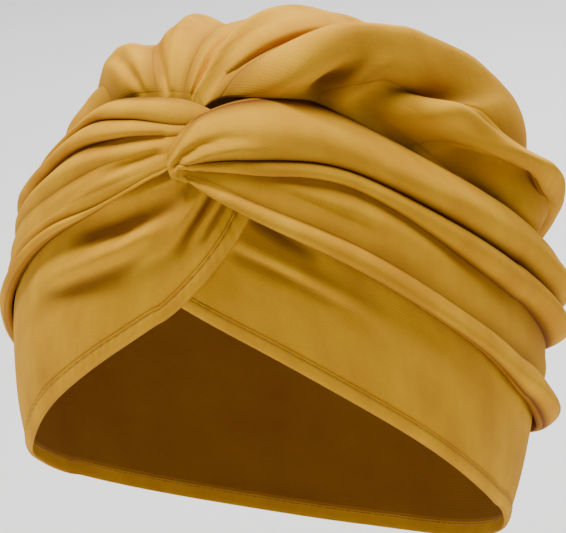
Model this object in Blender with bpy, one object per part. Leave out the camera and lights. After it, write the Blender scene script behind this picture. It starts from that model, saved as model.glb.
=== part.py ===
# Head wrap: a ready-tied turban of mustard jersey in the form it has when worn. The front faces -Y.
#
# A headband with a turned hem circles the head, and its end crosses over its start in a V above the
# forehead. Two folded bands leave a twist above the V and run round the sides to a seam at the back of
# the head. The one on the wearer's left lies on top at the twist. A gathered crown of two pieces puffs up
# over them.
#
# Everything lies on one head form and is lifted off it. A place on the form is given by its azimuth, in
# degrees from the front towards the wearer's left (+X), and its height, as a share of FORM_HEIGHT.

from collections import namedtuple

import bmesh
import bpy
import numpy as np

# Head form, in metres from the middle of the head opening
FORM_HEIGHT = 0.160
HALF_WIDTH = 0.092
FRONT_REACH = 0.095
BACK_REACH = 0.115
ROUNDNESS = 2.25

# Cloth, in metres
CLOTH = 0.0015
FOLDED_CLOTH = 0.0020
HEM_WIDTH = 0.0055
HEM_RELIEF = 0.0004
CLEARANCE = 0.0003
GATHER_RISE = 0.0022

# Crown, in metres. Rise and spread are measured from the line between its front and back. The last two
# are shares: how upright the sides set off from the bands, and how far they may then flare outwards.
CROWN_RISE = 0.067
CROWN_SPREAD = 0.096
CROWN_LEAN = 0.006
CROWN_CLOTH = 0.0018
CROWN_GAP = 0.0012
CROWN_TUCK = 0.010
SEAM_GAP = 0.0005
LOBE_RISE = 0.009
SIDE_UPRIGHT = 0.85
SIDE_FLARE = 2.0

# Faces along and across the pieces, and the sharpest fold in degrees that still looks smooth
BAND_STEPS = 28
FOLD_STEPS = 4
HEADBAND_STEPS = 56
HEADBAND_ROWS = 8
CROWN_HALF_STEPS = 8
LOBE_STEPS = 6
SMOOTH_UP_TO = 50

# Relief of the hem at its free edge, along its middle and beside the cloth
HEM_PROFILE = (0.5, 1.0, 0.75)

# Share of each side of the crown that its margin's corners take at either end
MARGIN_CORNER = 0.2

# One layer of cloth on the form, with its hem and the gap to the next layer
LAYER = CLOTH + HEM_RELIEF + CLEARANCE

# Sections of the head form. half_width, front and back are shares of the sizes above, and middle is a
# share of BACK_REACH.
FormRow = namedtuple("FormRow", "height half_width front back middle")
FORM = (
    FormRow(-0.32, 0.81, 0.58, 0.84, 0.157),
    FormRow(0.00, 0.96, 0.78, 0.95, 0.157),
    FormRow(0.25, 1.02, 0.905, 0.983, 0.130),
    FormRow(0.50, 0.975, 0.98, 1.00, 0.113),
    FormRow(0.69, 0.855, 1.00, 0.93, 0.104),
    FormRow(0.875, 0.63, 0.968, 0.783, 0.104),
    FormRow(1.03, 0.39, 0.842, 0.54, 0.104),
)

# Stations along the two folded bands. layers: layers of cloth that the band lies on, or stands off by.
# full: how far its folds swell there, as a share of their full height.
Station = namedtuple("Station", "name layers full")

# A fold runs down from its crease to the crease of the next row. path: azimuth and height at each
# station. swell: height of the fold as a share of its width. round: 1 is a tube and 0 a soft wave.
# raised: how far its crease stands off the band, in layers.
Fold = namedtuple("Fold", "name path swell round raised")

LEFT_STATIONS = (
    Station("tip", 3.0, 0.0),
    Station("knot", 3.3, 0.4),
    Station("turn", 3.4, 0.8),
    Station("brow", 3.1, 1.0),
    Station("temple", 1.6, 1.0),
    Station("side", 1.5, 1.2),
    Station("rear", 1.8, 1.4),
    Station("quarter", 1.4, 1.2),
    Station("seam", 1.0, 0.7),
)
LEFT_FOLDS = (
    Fold("top", ((4, 0.849), (3, 0.875), (6, 0.945), (22, 1.000), (55, 0.972),
                 (83, 0.788), (108, 0.545), (142, 0.40), (180, 0.34)), 0.30, 0.75, 0.0),
    Fold("inner roll", ((5, 0.847), (5, 0.870), (9, 0.886), (24, 0.912), (54, 0.865),
                        (84, 0.640), (109, 0.405), (143, 0.30), (180, 0.25)), 0.32, 0.90, 0.0),
    Fold("hollow", ((6, 0.845), (6, 0.862), (11, 0.866), (25, 0.863), (53, 0.808),
                    (81, 0.555), (109, 0.315), (143, 0.22), (180, 0.18)), 0.14, 0.30, -0.3),
    Fold("lower roll", ((7, 0.843), (7.5, 0.856), (13, 0.860), (23, 0.823), (48, 0.690),
                        (77, 0.455), (105, 0.215), (142, 0.11), (180, 0.07)), 0.30, 0.85, -0.3),
    Fold("edge", ((8, 0.840), (8.5, 0.842), (12.5, 0.820), (22, 0.768), (46, 0.625),
                  (74, 0.400), (101, 0.148), (140, 0.01), (180, -0.03)), 0.0, 0.0, 0.0),
)

RIGHT_STATIONS = (
    Station("tuck", 2.0, 0.1),
    Station("knot", 2.0, 0.4),
    Station("brow", 2.0, 1.0),
    Station("temple", 1.5, 0.8),
    Station("side", 1.1, 0.7),
    Station("rear", 1.0, 0.9),
    Station("quarter", 1.0, 1.0),
    Station("seam", 1.0, 0.7),
)
RIGHT_FOLDS = (
    Fold("top", ((17, 0.985), (9, 1.004), (-10, 1.005), (-36, 0.965),
                 (-65, 0.800), (-96, 0.600), (-138, 0.41), (-180, 0.34)), 0.36, 0.90, 0.0),
    Fold("second", ((9, 0.958), (5, 0.957), (-13, 0.959), (-38, 0.915),
                    (-66, 0.740), (-96, 0.525), (-138, 0.345), (-180, 0.28)), 0.36, 0.90, 0.0),
    Fold("third", ((8, 0.937), (3.5, 0.934), (-14, 0.918), (-37, 0.852),
                   (-66, 0.655), (-96, 0.440), (-138, 0.27), (-180, 0.21)), 0.22, 0.60, 0.0),
    Fold("fourth", ((7, 0.915), (1.5, 0.897), (-15, 0.862), (-36, 0.760),
                    (-66, 0.590), (-97, 0.370), (-139, 0.20), (-180, 0.14)), 0.20, 0.30, 0.3),
    Fold("fifth", ((6, 0.896), (1, 0.874), (-15, 0.810), (-35, 0.712),
                   (-66, 0.520), (-97, 0.300), (-139, 0.13), (-180, 0.08)), 0.24, 0.60, 0.3),
    Fold("sliver", ((5, 0.880), (0.5, 0.857), (-15, 0.770), (-34.5, 0.681),
                    (-65, 0.470), (-97, 0.235), (-139, 0.07), (-180, 0.03)), 0.36, 0.90, 0.0),
    Fold("edge", ((4, 0.870), (0.0, 0.846), (-16, 0.752), (-36, 0.635),
                  (-65, 0.400), (-97, 0.150), (-139, 0.00), (-180, -0.03)), 0.0, 0.0, 0.0),
)

# The headband, from its start behind the V round the wearer's left and the back to its end under the
# twist. Azimuths run on past 180. layers: how far it has climbed over its own start.
HeadbandRow = namedtuple("HeadbandRow", "hem_azimuth hem_height top_azimuth top_height layers")
HEADBAND = (
    HeadbandRow(-14, 0.660, -12, 0.93, 0.0),
    HeadbandRow(4.5, 0.544, 5, 0.94, 0.0),
    HeadbandRow(24, 0.428, 23, 0.93, 0.0),
    HeadbandRow(50.5, 0.247, 52, 0.90, 0.0),
    HeadbandRow(79.5, 0.038, 80, 0.74, 0.0),
    HeadbandRow(105, -0.125, 105, 0.50, 0.0),
    HeadbandRow(140, -0.240, 140, 0.33, 0.0),
    HeadbandRow(180, -0.270, 180, 0.27, 0.0),
    HeadbandRow(220, -0.225, 220, 0.33, 0.0),
    HeadbandRow(258, -0.120, 260, 0.52, 0.0),
    HeadbandRow(290, 0.025, 292, 0.71, 0.0),
    HeadbandRow(311, 0.122, 314, 0.84, 0.15),
    HeadbandRow(332, 0.284, 333, 0.92, 0.65),
    HeadbandRow(346, 0.393, 347, 0.935, 1.0),
    HeadbandRow(358.5, 0.497, 358, 0.935, 1.0),
    HeadbandRow(370, 0.620, 368, 0.93, 1.0),
    HeadbandRow(384, 0.775, 376, 0.90, 1.0),
)

# Ridges gathered in the headband: four fan out of the twist over its end, and one lies by its start.
# rise is a share of GATHER_RISE, and width is a share of FORM_HEIGHT. A ridge starts a little way into
# its swell, at the share GATHER_START.
GATHER_START = 0.1
Gather = namedtuple("Gather", "name from_azimuth from_height to_azimuth to_height rise width")
GATHERS = (
    Gather("upper", 362, 0.80, 344, 0.71, 0.7, 0.030),
    Gather("long", 367, 0.79, 326, 0.52, 1.0, 0.036),
    Gather("short", 370, 0.79, 361, 0.68, 0.8, 0.026),
    Gather("shortest", 374, 0.79, 369, 0.72, 0.7, 0.020),
    Gather("start", 16, 0.69, 40, 0.57, 0.7, 0.034),
)

# Valleys of the gathered crown. front and back: azimuths where the valley leaves the bands' top edge.
# roll: degrees from the top towards the wearer's left, half way along. swell: height of the lobe on the
# valley's left, as a share of LOBE_RISE.
Lobe = namedtuple("Lobe", "name front roll back swell round")
LOBES = (
    Lobe("right rim", -84, -80, -98, 0.1, 0.5),
    Lobe("right low", -40, -62, -128, 0.8, 0.8),
    Lobe("right high", -10, -36, -152, 1.0, 0.8),
    Lobe("top", 3, -11, -172, 1.1, 0.7),
    Lobe("left high", 14, 26, 164, 1.0, 0.8),
    Lobe("left middle", 32, 42, 148, 0.8, 0.8),
    Lobe("left low", 52, 55, 134, 0.7, 0.8),
    Lobe("left side", 72, 67, 122, 0.3, 0.5),
    Lobe("left rim", 94, 78, 106, 0.0, 0.0),
)

# Valley that holds the seam between the crown's two pieces
CROWN_SEAM = "top"

# Ends of the crown's middle line, as azimuth and height
CROWN_FRONT = (8, 0.93)
CROWN_BACK = (180, 0.28)

MUSTARD = (0.58, 0.33, 0.06, 1.0)
DEEP_MUSTARD = (0.40, 0.20, 0.03, 1.0)


def spread_out(rows):
    """Positions for the rows of a table, further apart where their azimuths lie further apart."""
    steps = np.abs(np.diff(np.asarray(rows, float), axis=0)).reshape(len(rows) - 1, -1).mean(axis=1)
    return np.concatenate([[0], np.cumsum(np.sqrt(steps))])


def cubic(start, end, start_run, end_run, t):
    """Point at t from 0 to 1 on the smooth curve from start to end that sets off and lands as told."""
    return ((2 * t**3 - 3 * t**2 + 1) * start + (t**3 - 2 * t**2 + t) * start_run
            + (3 * t**2 - 2 * t**3) * end + (t**3 - t**2) * end_run)


def curve_through(places, rows, at):
    """Smooth curve through the rows of a table that stand at the given places, read at others."""
    rows = np.asarray(rows, float)
    slopes = np.gradient(rows, places, axis=0)
    first = np.clip(np.searchsorted(places, at, side="right") - 1, 0, len(rows) - 2)
    wide = (Ellipsis,) + (None,) * (rows.ndim - 1)
    step = (places[first + 1] - places[first])[wide]
    t = np.clip((at - places[first])[wide] / step, 0, 1)
    return cubic(rows[first], rows[first + 1], step * slopes[first], step * slopes[first + 1], t)


def form_section(height):
    """Half width, front reach, back reach and middle of the head form at each height, in metres."""
    table = np.array(FORM)
    shares = curve_through(table[:, 0], table[:, 1:], height)
    middle = shares[..., 3] * BACK_REACH
    front = shares[..., 1] * FRONT_REACH + middle
    back = shares[..., 2] * BACK_REACH - middle
    return shares[..., 0] * HALF_WIDTH, front, back, middle


def on_form(azimuth, height, lift):
    """Points on the head form at an azimuth in degrees and a height share, lifted off it by metres."""
    azimuth, height, lift = np.broadcast_arrays(azimuth, height, lift)
    half_width, front, back, middle = form_section(height)
    sine, cosine = np.sin(np.radians(azimuth)), np.cos(np.radians(azimuth))
    reach = np.where(cosine > 0, front, back) + lift
    x = (half_width + lift) * np.sign(sine) * np.abs(sine) ** (2 / ROUNDNESS)
    y = middle - reach * np.sign(cosine) * np.abs(cosine) ** (2 / ROUNDNESS)
    return np.stack([x, y, height * FORM_HEIGHT], axis=-1)


def off_form(points):
    """Azimuth of each point, and its distance from the form's middle as a share of the form's own."""
    half_width, front, back, middle = form_section(points[..., 2] / FORM_HEIGHT)
    along = middle - points[..., 1]
    across = points[..., 0] / half_width
    along = along / np.where(along > 0, front, back)
    share = (np.abs(across) ** ROUNDNESS + np.abs(along) ** ROUNDNESS) ** (1 / ROUNDNESS)
    sine = np.sign(across) * np.abs(across) ** (ROUNDNESS / 2)
    cosine = np.sign(along) * np.abs(along) ** (ROUNDNESS / 2)
    return np.degrees(np.arctan2(sine, cosine)), share


def fold_profile(across, round_share):
    """Height of a fold at each place across it, from 0 at its creases to 1 in the middle."""
    tube = np.sqrt(np.maximum(0, 1 - (2 * across - 1) ** 2))
    wave = np.sin(np.pi * across) ** 2
    return round_share * tube + (1 - round_share) * wave


def closed_shell(outer, inner):
    """Vertices and faces of the solid between two grids of points with the same rows and columns."""
    rows, columns = outer.shape[:2]
    number = np.arange(2 * rows * columns).reshape(2, rows, columns)

    def quads(grid):
        corners = (grid[:-1, :-1], grid[1:, :-1], grid[1:, 1:], grid[:-1, 1:])
        return np.stack(corners, axis=-1).reshape(-1, 4)

    rim_outer = np.concatenate([number[0, 0, :-1], number[0, :-1, -1],
                                number[0, -1, :0:-1], number[0, :0:-1, 0]])
    rim_inner = rim_outer + rows * columns
    rim = np.stack([rim_outer, np.roll(rim_outer, -1), np.roll(rim_inner, -1), rim_inner], axis=-1)
    faces = np.concatenate([quads(number[0]), quads(number[1])[:, ::-1], rim])
    return np.concatenate([outer.reshape(-1, 3), inner.reshape(-1, 3)]), faces


def add_piece(name, outer, inner, material):
    """One named solid made of two grids of points, with its faces turned outwards."""
    vertices, faces = closed_shell(outer, inner)
    mesh = bpy.data.meshes.new(name)
    mesh.from_pydata(vertices.tolist(), [], faces.tolist())
    shape = bmesh.new()
    shape.from_mesh(mesh)
    bmesh.ops.recalc_face_normals(shape, faces=shape.faces)
    shape.to_mesh(mesh)
    shape.free()
    mesh.shade_smooth()
    mesh.set_sharp_from_angle(angle=np.radians(SMOOTH_UP_TO))
    mesh.materials.append(material)
    piece = bpy.data.objects.new(name, mesh)
    bpy.context.scene.collection.objects.link(piece)
    return piece


def add_material(name, colour):
    """Matt jersey."""
    material = bpy.data.materials.new(name)
    material.use_nodes = True
    shader = material.node_tree.nodes["Principled BSDF"]
    shader.inputs["Base Color"].default_value = colour
    shader.inputs["Roughness"].default_value = 0.85
    shader.inputs["Metallic"].default_value = 0.0
    return material


def gather_rise(azimuth, height):
    """How far the gathers lift the headband at each place, in metres."""
    rise = np.zeros(azimuth.shape)
    degree = np.radians(1) * FRONT_REACH / FORM_HEIGHT
    for gather in GATHERS:
        start = np.array([gather.from_azimuth * degree, gather.from_height])
        run = np.array([gather.to_azimuth * degree, gather.to_height]) - start
        place = np.stack([azimuth * degree, height], axis=-1) - start
        along = np.clip(place @ run / (run @ run), 0, 1)
        away = np.linalg.norm(place - along[..., None] * run, axis=-1)
        fade = np.sin(np.pi * (GATHER_START + (1 - GATHER_START) * along))
        rise = np.maximum(rise, gather.rise * fade * np.exp(-2 * (away / gather.width) ** 2))
    return rise * GATHER_RISE


def headband_strip(low, high, steps):
    """Azimuths, heights and lifts of the headband between two distances above the hem's edge, in metres.

    A high of None is the headband's top edge.
    """
    places = spread_out([row.hem_azimuth for row in HEADBAND])
    rows = curve_through(places, HEADBAND, np.linspace(0, places[-1], HEADBAND_STEPS + 1))
    hem, top = rows[:, 0:2], rows[:, 2:4]
    edge, above = on_form(*hem.T, 0), on_form(*top.T, 0)
    slope = np.gradient(edge, axis=0)
    slope /= np.linalg.norm(slope, axis=1, keepdims=True)
    rise = above - edge
    width = np.linalg.norm(rise - (rise * slope).sum(axis=1, keepdims=True) * slope, axis=1)
    start = low / width
    end = high / width if high else np.ones_like(width)
    share = start[:, None] + (end - start)[:, None] * np.linspace(0, 1, steps + 1)
    azimuth, height = ((hem[:, part, None] + (top - hem)[:, part, None] * share) for part in (0, 1))
    return azimuth, height, np.clip(rows[:, 4:5], 0, 1) * LAYER


def build_headband(material):
    """The cloth of the headband above its hem."""
    azimuth, height, lift = headband_strip(HEM_WIDTH + CLEARANCE, None, HEADBAND_ROWS)
    lift = lift + gather_rise(azimuth, height)
    return add_piece("headband", on_form(azimuth, height, lift + CLOTH),
                     on_form(azimuth, height, lift), material)


def build_hem(material):
    """The turned hem along the headband's lower edge, a little prouder than the cloth."""
    azimuth, height, lift = headband_strip(0, HEM_WIDTH, len(HEM_PROFILE) - 1)
    relief = HEM_RELIEF * np.array(HEM_PROFILE)
    return add_piece("hem", on_form(azimuth, height, lift + CLOTH + relief),
                     on_form(azimuth, height, lift), material)


def band_curves(folds, stations):
    """Layers and fullness along a folded band, and the azimuth and height of each of its creases."""
    paths = np.transpose([fold.path for fold in folds], (1, 0, 2))
    places = spread_out(paths[..., 0])
    at = np.linspace(0, places[-1], BAND_STEPS + 1)
    layers, full = curve_through(places, [station[1:] for station in stations], at).T
    return layers, np.clip(full, 0, None), curve_through(places, paths, at)


def band_grids(folds, stations, side):
    """Outer and inner grids of a folded band. side is +1 on the wearer's left and -1 on the right."""
    layers, full, creases = band_curves(folds, stations)
    raised = np.array([fold.raised for fold in folds]) * LAYER
    azimuths, heights, lifts = [], [], []
    for number in range(len(folds) - 1):
        fold = folds[number]
        across = np.linspace(0, 1, FOLD_STEPS + 1)[None, :-1]
        start, end = creases[:, number, None, :], creases[:, number + 1, None, :]
        run = start + (end - start) * across[..., None]
        edges = on_form(creases[:, number:number + 2, 0], creases[:, number:number + 2, 1], 0)
        width = np.linalg.norm(edges[:, 1] - edges[:, 0], axis=-1)[:, None]
        step = raised[number] + (raised[number + 1] - raised[number]) * across
        azimuths.append(run[..., 0])
        heights.append(run[..., 1])
        lifts.append(step + fold.swell * width * fold_profile(across, fold.round))
    azimuth = np.concatenate(azimuths + [creases[:, -1:, 0]], axis=1)
    height = np.concatenate(heights + [creases[:, -1:, 1]], axis=1)
    lift = np.concatenate(lifts + [np.zeros_like(azimuth[:, :1])], axis=1) * full[:, None]
    under = layers[:, None] * LAYER
    outer = on_form(azimuth, height, under + FOLDED_CLOTH + lift)
    inner = on_form(azimuth, height, under)
    for grid in (outer, inner):
        grid[-1, :, 0] = side * CLEARANCE / 2
    return outer, inner


def build_band(name, folds, stations, side, material):
    """A folded band, from the twist to the seam at the back of the head."""
    outer, inner = band_grids(folds, stations, side)
    return add_piece(name, outer, inner, material)


def band_top(azimuth):
    """Height of the folded bands' top edges at each azimuth, as a share of FORM_HEIGHT."""
    left = band_curves(LEFT_FOLDS, LEFT_STATIONS)[2][:, 0]
    right = band_curves(RIGHT_FOLDS, RIGHT_STATIONS)[2][:, 0]
    meeting = RIGHT_FOLDS[0].path[1][0]
    rows = np.concatenate([right[right[:, 0] <= meeting][::-1], left[left[:, 0] > meeting]])
    return np.interp(azimuth, rows[:, 0], rows[:, 1])


def settle_on_bands(points):
    """Points with those below the bands' top edge raised to it and drawn in behind it."""
    settled = points.copy()
    edge = band_top(off_form(points)[0]) * FORM_HEIGHT + CLEARANCE
    settled[..., 2] = np.maximum(points[..., 2], edge)
    azimuth, share = off_form(settled)
    above = settled[..., 2] - band_top(azimuth) * FORM_HEIGHT
    middle = form_section(settled[..., 2] / FORM_HEIGHT)[3]
    reach = np.hypot(settled[..., 0], settled[..., 1] - middle) / share
    scale = np.minimum(1, (1 + (SIDE_FLARE * above - CROWN_GAP) / reach) / share)
    settled[..., 0] *= scale
    settled[..., 1] = middle + (settled[..., 1] - middle) * scale
    return settled


def lobe_columns():
    """Front azimuth, roll and back azimuth of each column of the crown, and the swell of its lobe."""
    columns = []
    for lobe, following in zip(LOBES, LOBES[1:]):
        across = np.linspace(0, 1, LOBE_STEPS + 1)[:-1]
        start = np.array([lobe.front, lobe.roll, lobe.back % 360])
        end = np.array([following.front, following.roll, following.back % 360])
        places = start + (end - start) * across[:, None]
        swell = lobe.swell * LOBE_RISE * fold_profile(across, lobe.round)
        columns.append(np.column_stack([places, swell]))
    last = LOBES[-1]
    return np.concatenate(columns + [[[last.front, last.roll, last.back % 360, 0]]]).T


def crown_base():
    """Middle of the line between the crown's ends, and directions along it, to its left and up from it."""
    front, back = on_form(*CROWN_FRONT, 0), on_form(*CROWN_BACK, 0)
    along = (back - front) / np.linalg.norm(back - front)
    side = np.cross(along, [0, 0, 1])
    side /= np.linalg.norm(side)
    return (front + back) / 2, along, side, np.cross(side, along)


def crown_arcs(front_azimuth, roll, back_azimuth):
    """Columns of points from the bands' edge at the front, over the top and down to it at the back."""
    centre, along, side, up = crown_base()
    start, end = (on_form(azimuth, band_top(azimuth) + CLEARANCE / FORM_HEIGHT, -CROWN_GAP)
                  for azimuth in (front_azimuth, back_azimuth))
    spread = side * (CROWN_LEAN + np.sin(roll) * CROWN_SPREAD)
    middle = centre + spread + up * np.cos(roll) * CROWN_RISE
    behind = ((start + end) / 2 - middle) @ along
    middle = settle_on_bands(middle + along * behind[:, None] * np.sin(roll) ** 2)
    puff = middle - (start + end) / 2
    size = np.linalg.norm(puff, axis=-1, keepdims=True)
    upright = SIDE_UPRIGHT * np.sin(roll) ** 2
    setting_off = puff * (1 - upright) + np.array([0, 0, 1]) * size * upright
    setting_off *= size / np.linalg.norm(setting_off, axis=-1, keepdims=True) * np.pi / 2
    running = (end - start) * np.pi / 4
    t = np.linspace(0, 1, CROWN_HALF_STEPS + 1)[:, None, None]
    return np.concatenate([cubic(start, middle, setting_off, running, t),
                           cubic(middle, end, running, -setting_off, t)[1:]])


def margin_azimuths(front_azimuth, back_azimuth):
    """Azimuths of the crown's margin along its front, its back, its right side and its left side."""
    shares = np.linspace(MARGIN_CORNER, 1 - MARGIN_CORNER, 2 * CROWN_HALF_STEPS + 1)
    right, left = (front_azimuth[column] + (back_azimuth[column] - front_azimuth[column]) * shares
                   for column in (0, -1))
    front, back = (np.concatenate([[(right[row] + ends[0]) / 2], ends, [(left[row] + ends[-1]) / 2]])
                   for row, ends in ((0, front_azimuth), (-1, back_azimuth)))
    return front, back, right, left


def with_margin(sheet, azimuths, depth):
    """A grid of the crown with its margin, which is tucked behind the bands."""
    front, back, right, left = (
        on_form(azimuth, band_top(azimuth) - CROWN_TUCK / FORM_HEIGHT, -CROWN_GAP - depth)
        for azimuth in azimuths)
    body = np.concatenate([right[:, None], sheet, left[:, None]], axis=1)
    return np.concatenate([front[None], body, back[None]])


def set_back(grid):
    """A grid whose first column is set back from where it was by the gap at the crown's seam."""
    run = grid[:, 1] - grid[:, 0]
    moved = grid.copy()
    moved[:, 0] += run / np.linalg.norm(run, axis=-1, keepdims=True) * SEAM_GAP
    return moved


def build_crown(material):
    """The puffed crown, in two pieces whose seam lies in the valley along its top.

    Its folds arch over from the bands at the front to the bands at the back.
    """
    front_azimuth, roll, back_azimuth, swell = lobe_columns()
    back_azimuth = np.where(back_azimuth > 180, back_azimuth - 360, back_azimuth)
    arcs = crown_arcs(front_azimuth, np.radians(roll)[:, None], back_azimuth)
    fullness = np.sin(np.linspace(0, np.pi, len(arcs)))[:, None, None]
    normal = np.cross(np.gradient(arcs, axis=1), np.gradient(arcs, axis=0))
    normal /= np.linalg.norm(normal, axis=-1, keepdims=True)
    outer = arcs + normal * fullness * swell[:, None]
    margins = margin_azimuths(front_azimuth, back_azimuth)
    grids = (with_margin(outer, margins, 0),
             with_margin(outer - normal * CROWN_CLOTH, margins, CROWN_CLOTH))
    seam = 1 + LOBE_STEPS * [lobe.name for lobe in LOBES].index(CROWN_SEAM)
    add_piece("crown_right", *(grid[:, :seam + 1] for grid in grids), material)
    add_piece("crown_left", *(set_back(grid[:, seam:]) for grid in grids), material)


def main():
    for old in list(bpy.data.objects):
        bpy.data.objects.remove(old)
    jersey = add_material("mustard jersey", MUSTARD)
    folded = add_material("folded jersey", MUSTARD)
    hemmed = add_material("hem jersey", DEEP_MUSTARD)
    build_crown(jersey)
    build_headband(jersey)
    build_hem(hemmed)
    build_band("left_twist_band", LEFT_FOLDS, LEFT_STATIONS, 1, folded)
    build_band("right_pleated_band", RIGHT_FOLDS, RIGHT_STATIONS, -1, folded)


main()
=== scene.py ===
import bmesh
import bpy
import numpy as np
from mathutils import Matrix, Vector, noise


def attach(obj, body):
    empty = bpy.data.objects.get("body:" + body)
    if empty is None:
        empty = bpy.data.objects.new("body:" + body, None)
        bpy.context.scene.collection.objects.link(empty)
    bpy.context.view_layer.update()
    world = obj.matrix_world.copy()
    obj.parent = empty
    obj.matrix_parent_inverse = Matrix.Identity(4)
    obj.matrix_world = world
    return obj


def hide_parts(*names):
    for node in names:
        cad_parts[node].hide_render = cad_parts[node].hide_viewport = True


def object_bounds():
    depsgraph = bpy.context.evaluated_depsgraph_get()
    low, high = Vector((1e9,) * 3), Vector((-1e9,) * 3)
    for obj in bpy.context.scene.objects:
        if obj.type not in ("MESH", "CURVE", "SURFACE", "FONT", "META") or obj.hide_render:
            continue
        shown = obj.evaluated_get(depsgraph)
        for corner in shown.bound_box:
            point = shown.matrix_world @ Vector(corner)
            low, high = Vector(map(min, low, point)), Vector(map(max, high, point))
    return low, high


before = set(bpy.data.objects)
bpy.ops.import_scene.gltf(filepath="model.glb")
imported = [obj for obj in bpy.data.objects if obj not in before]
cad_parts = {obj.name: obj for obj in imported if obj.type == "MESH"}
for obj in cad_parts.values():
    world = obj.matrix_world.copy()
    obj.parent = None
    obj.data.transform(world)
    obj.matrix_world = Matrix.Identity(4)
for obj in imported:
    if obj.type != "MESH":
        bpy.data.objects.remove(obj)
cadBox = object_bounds()
print("head wrap: frame loaded")


# Camera, at the photo's angle

cameraSetup = {
    "azimuth": 22.0,
    "elevation": 12.4,
    "distance": 1.6,
    "target": (0.00695, 0.0028, 0.0829),
    "metresPerPixel": 0.000375,
    "imageWidth": 566,
    "sensorWidth": 36.0,
}


def addCamera(setup):
    azimuth, elevation = np.radians(setup["azimuth"]), np.radians(setup["elevation"])
    away = Vector((np.sin(azimuth) * np.cos(elevation), -np.cos(azimuth) * np.cos(elevation),
                   np.sin(elevation)))
    data = bpy.data.cameras.new("camera")
    focalPixels = setup["distance"] / setup["metresPerPixel"]
    data.sensor_width = setup["sensorWidth"]
    data.lens = focalPixels / setup["imageWidth"] * setup["sensorWidth"]
    camera = bpy.data.objects.new("camera", data)
    camera.location = Vector(setup["target"]) + away * setup["distance"]
    camera.rotation_euler = away.to_track_quat("Z", "Y").to_euler()
    bpy.context.scene.collection.objects.link(camera)
    bpy.context.scene.camera = camera


addCamera(cameraSetup)


# Head form, as in the model of the frame

headForm = {
    "height": 0.160,
    "halfWidth": 0.092,
    "front": 0.095,
    "back": 0.115,
    "roundness": 2.25,
    # height, half width, front, back and middle, as shares
    "sections": (
        (-0.32, 0.81, 0.58, 0.84, 0.157),
        (0.00, 0.96, 0.78, 0.95, 0.157),
        (0.25, 1.02, 0.905, 0.983, 0.130),
        (0.50, 0.975, 0.98, 1.00, 0.113),
        (0.69, 0.855, 1.00, 0.93, 0.104),
        (0.875, 0.63, 0.968, 0.783, 0.104),
        (1.03, 0.39, 0.842, 0.54, 0.104),
    ),
}
cloth = {
    "thickness": 0.0015,
    "folded": 0.0020,
    "hemWidth": 0.0055,
    "hemRelief": 0.0004,
    "gap": 0.0003,
}
layer = cloth["thickness"] + cloth["hemRelief"] + cloth["gap"]     # how far each layer lifts the next
millimetre = 0.001
degree = np.radians(1) * headForm["front"] / headForm["height"]    # one degree round, as a height share


def spreadOut(azimuths):
    # a place for each station, so that a curve through uneven stations stays smooth
    steps = np.abs(np.diff(np.asarray(azimuths, float), axis=0)).reshape(len(azimuths) - 1, -1)
    return np.concatenate([[0], np.cumsum(np.sqrt(steps.mean(axis=1)))])


def cubic(start, end, startRun, endRun, t):
    return ((2 * t**3 - 3 * t**2 + 1) * start + (t**3 - 2 * t**2 + t) * startRun
            + (3 * t**2 - 2 * t**3) * end + (t**3 - t**2) * endRun)


def curveThrough(places, rows, at):
    # a smooth curve through rows of values that stand at the places
    rows = np.asarray(rows, float)
    slopes = np.gradient(rows, places, axis=0)
    first = np.clip(np.searchsorted(places, at, side="right") - 1, 0, len(rows) - 2)
    wide = (Ellipsis,) + (None,) * (rows.ndim - 1)
    step = (places[first + 1] - places[first])[wide]
    t = np.clip((at - places[first])[wide] / step, 0, 1)
    return cubic(rows[first], rows[first + 1], step * slopes[first], step * slopes[first + 1], t)


def formSection(height):
    # half width, reach to the front and back, and middle of the form at a height
    table = np.array(headForm["sections"])
    shares = curveThrough(table[:, 0], table[:, 1:], height)
    middle = shares[..., 3] * headForm["back"]
    front = shares[..., 1] * headForm["front"] + middle
    back = shares[..., 2] * headForm["back"] - middle
    return shares[..., 0] * headForm["halfWidth"], front, back, middle


def onForm(azimuth, height, lift):
    # point at an azimuth and a height, lifted off the form
    azimuth, height, lift = np.broadcast_arrays(azimuth, height, lift)
    halfWidth, front, back, middle = formSection(height)
    sine, cosine = np.sin(np.radians(azimuth)), np.cos(np.radians(azimuth))
    reach = np.where(cosine > 0, front, back) + lift
    power = 2 / headForm["roundness"]
    x = (halfWidth + lift) * np.sign(sine) * np.abs(sine) ** power
    y = middle - reach * np.sign(cosine) * np.abs(cosine) ** power
    return np.stack([x, y, height * headForm["height"]], axis=-1)


def offForm(points):
    # azimuth of each point, and how far out it is: 1 on the form
    halfWidth, front, back, middle = formSection(points[..., 2] / headForm["height"])
    along = middle - points[..., 1]
    across = points[..., 0] / halfWidth
    along = along / np.where(along > 0, front, back)
    power = headForm["roundness"]
    share = (np.abs(across) ** power + np.abs(along) ** power) ** (1 / power)
    sine = np.sign(across) * np.abs(across) ** (power / 2)
    cosine = np.sign(along) * np.abs(along) ** (power / 2)
    return np.degrees(np.arctan2(sine, cosine)), share


def foldProfile(across, roundShare):
    # height across a fold, from a soft wave at 0 to a round tube at 1
    tube = np.sqrt(np.maximum(0, 1 - (2 * across - 1) ** 2))
    wave = np.sin(np.pi * across) ** 2
    return roundShare * tube + (1 - roundShare) * wave


def softNoise(u, v, seed):
    flat = zip(np.ravel(u).tolist(), np.ravel(v).tolist())
    return np.array([noise.noise((a, b, seed)) for a, b in flat]).reshape(np.shape(u))


def lengthAlong(points, axis=0):
    # distance run from the first point to each one
    steps = np.linalg.norm(np.diff(points, axis=axis), axis=-1)
    start = np.zeros_like(np.take(steps, [0], axis=axis))
    return np.concatenate([start, np.cumsum(steps, axis=axis)], axis=axis)


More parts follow.
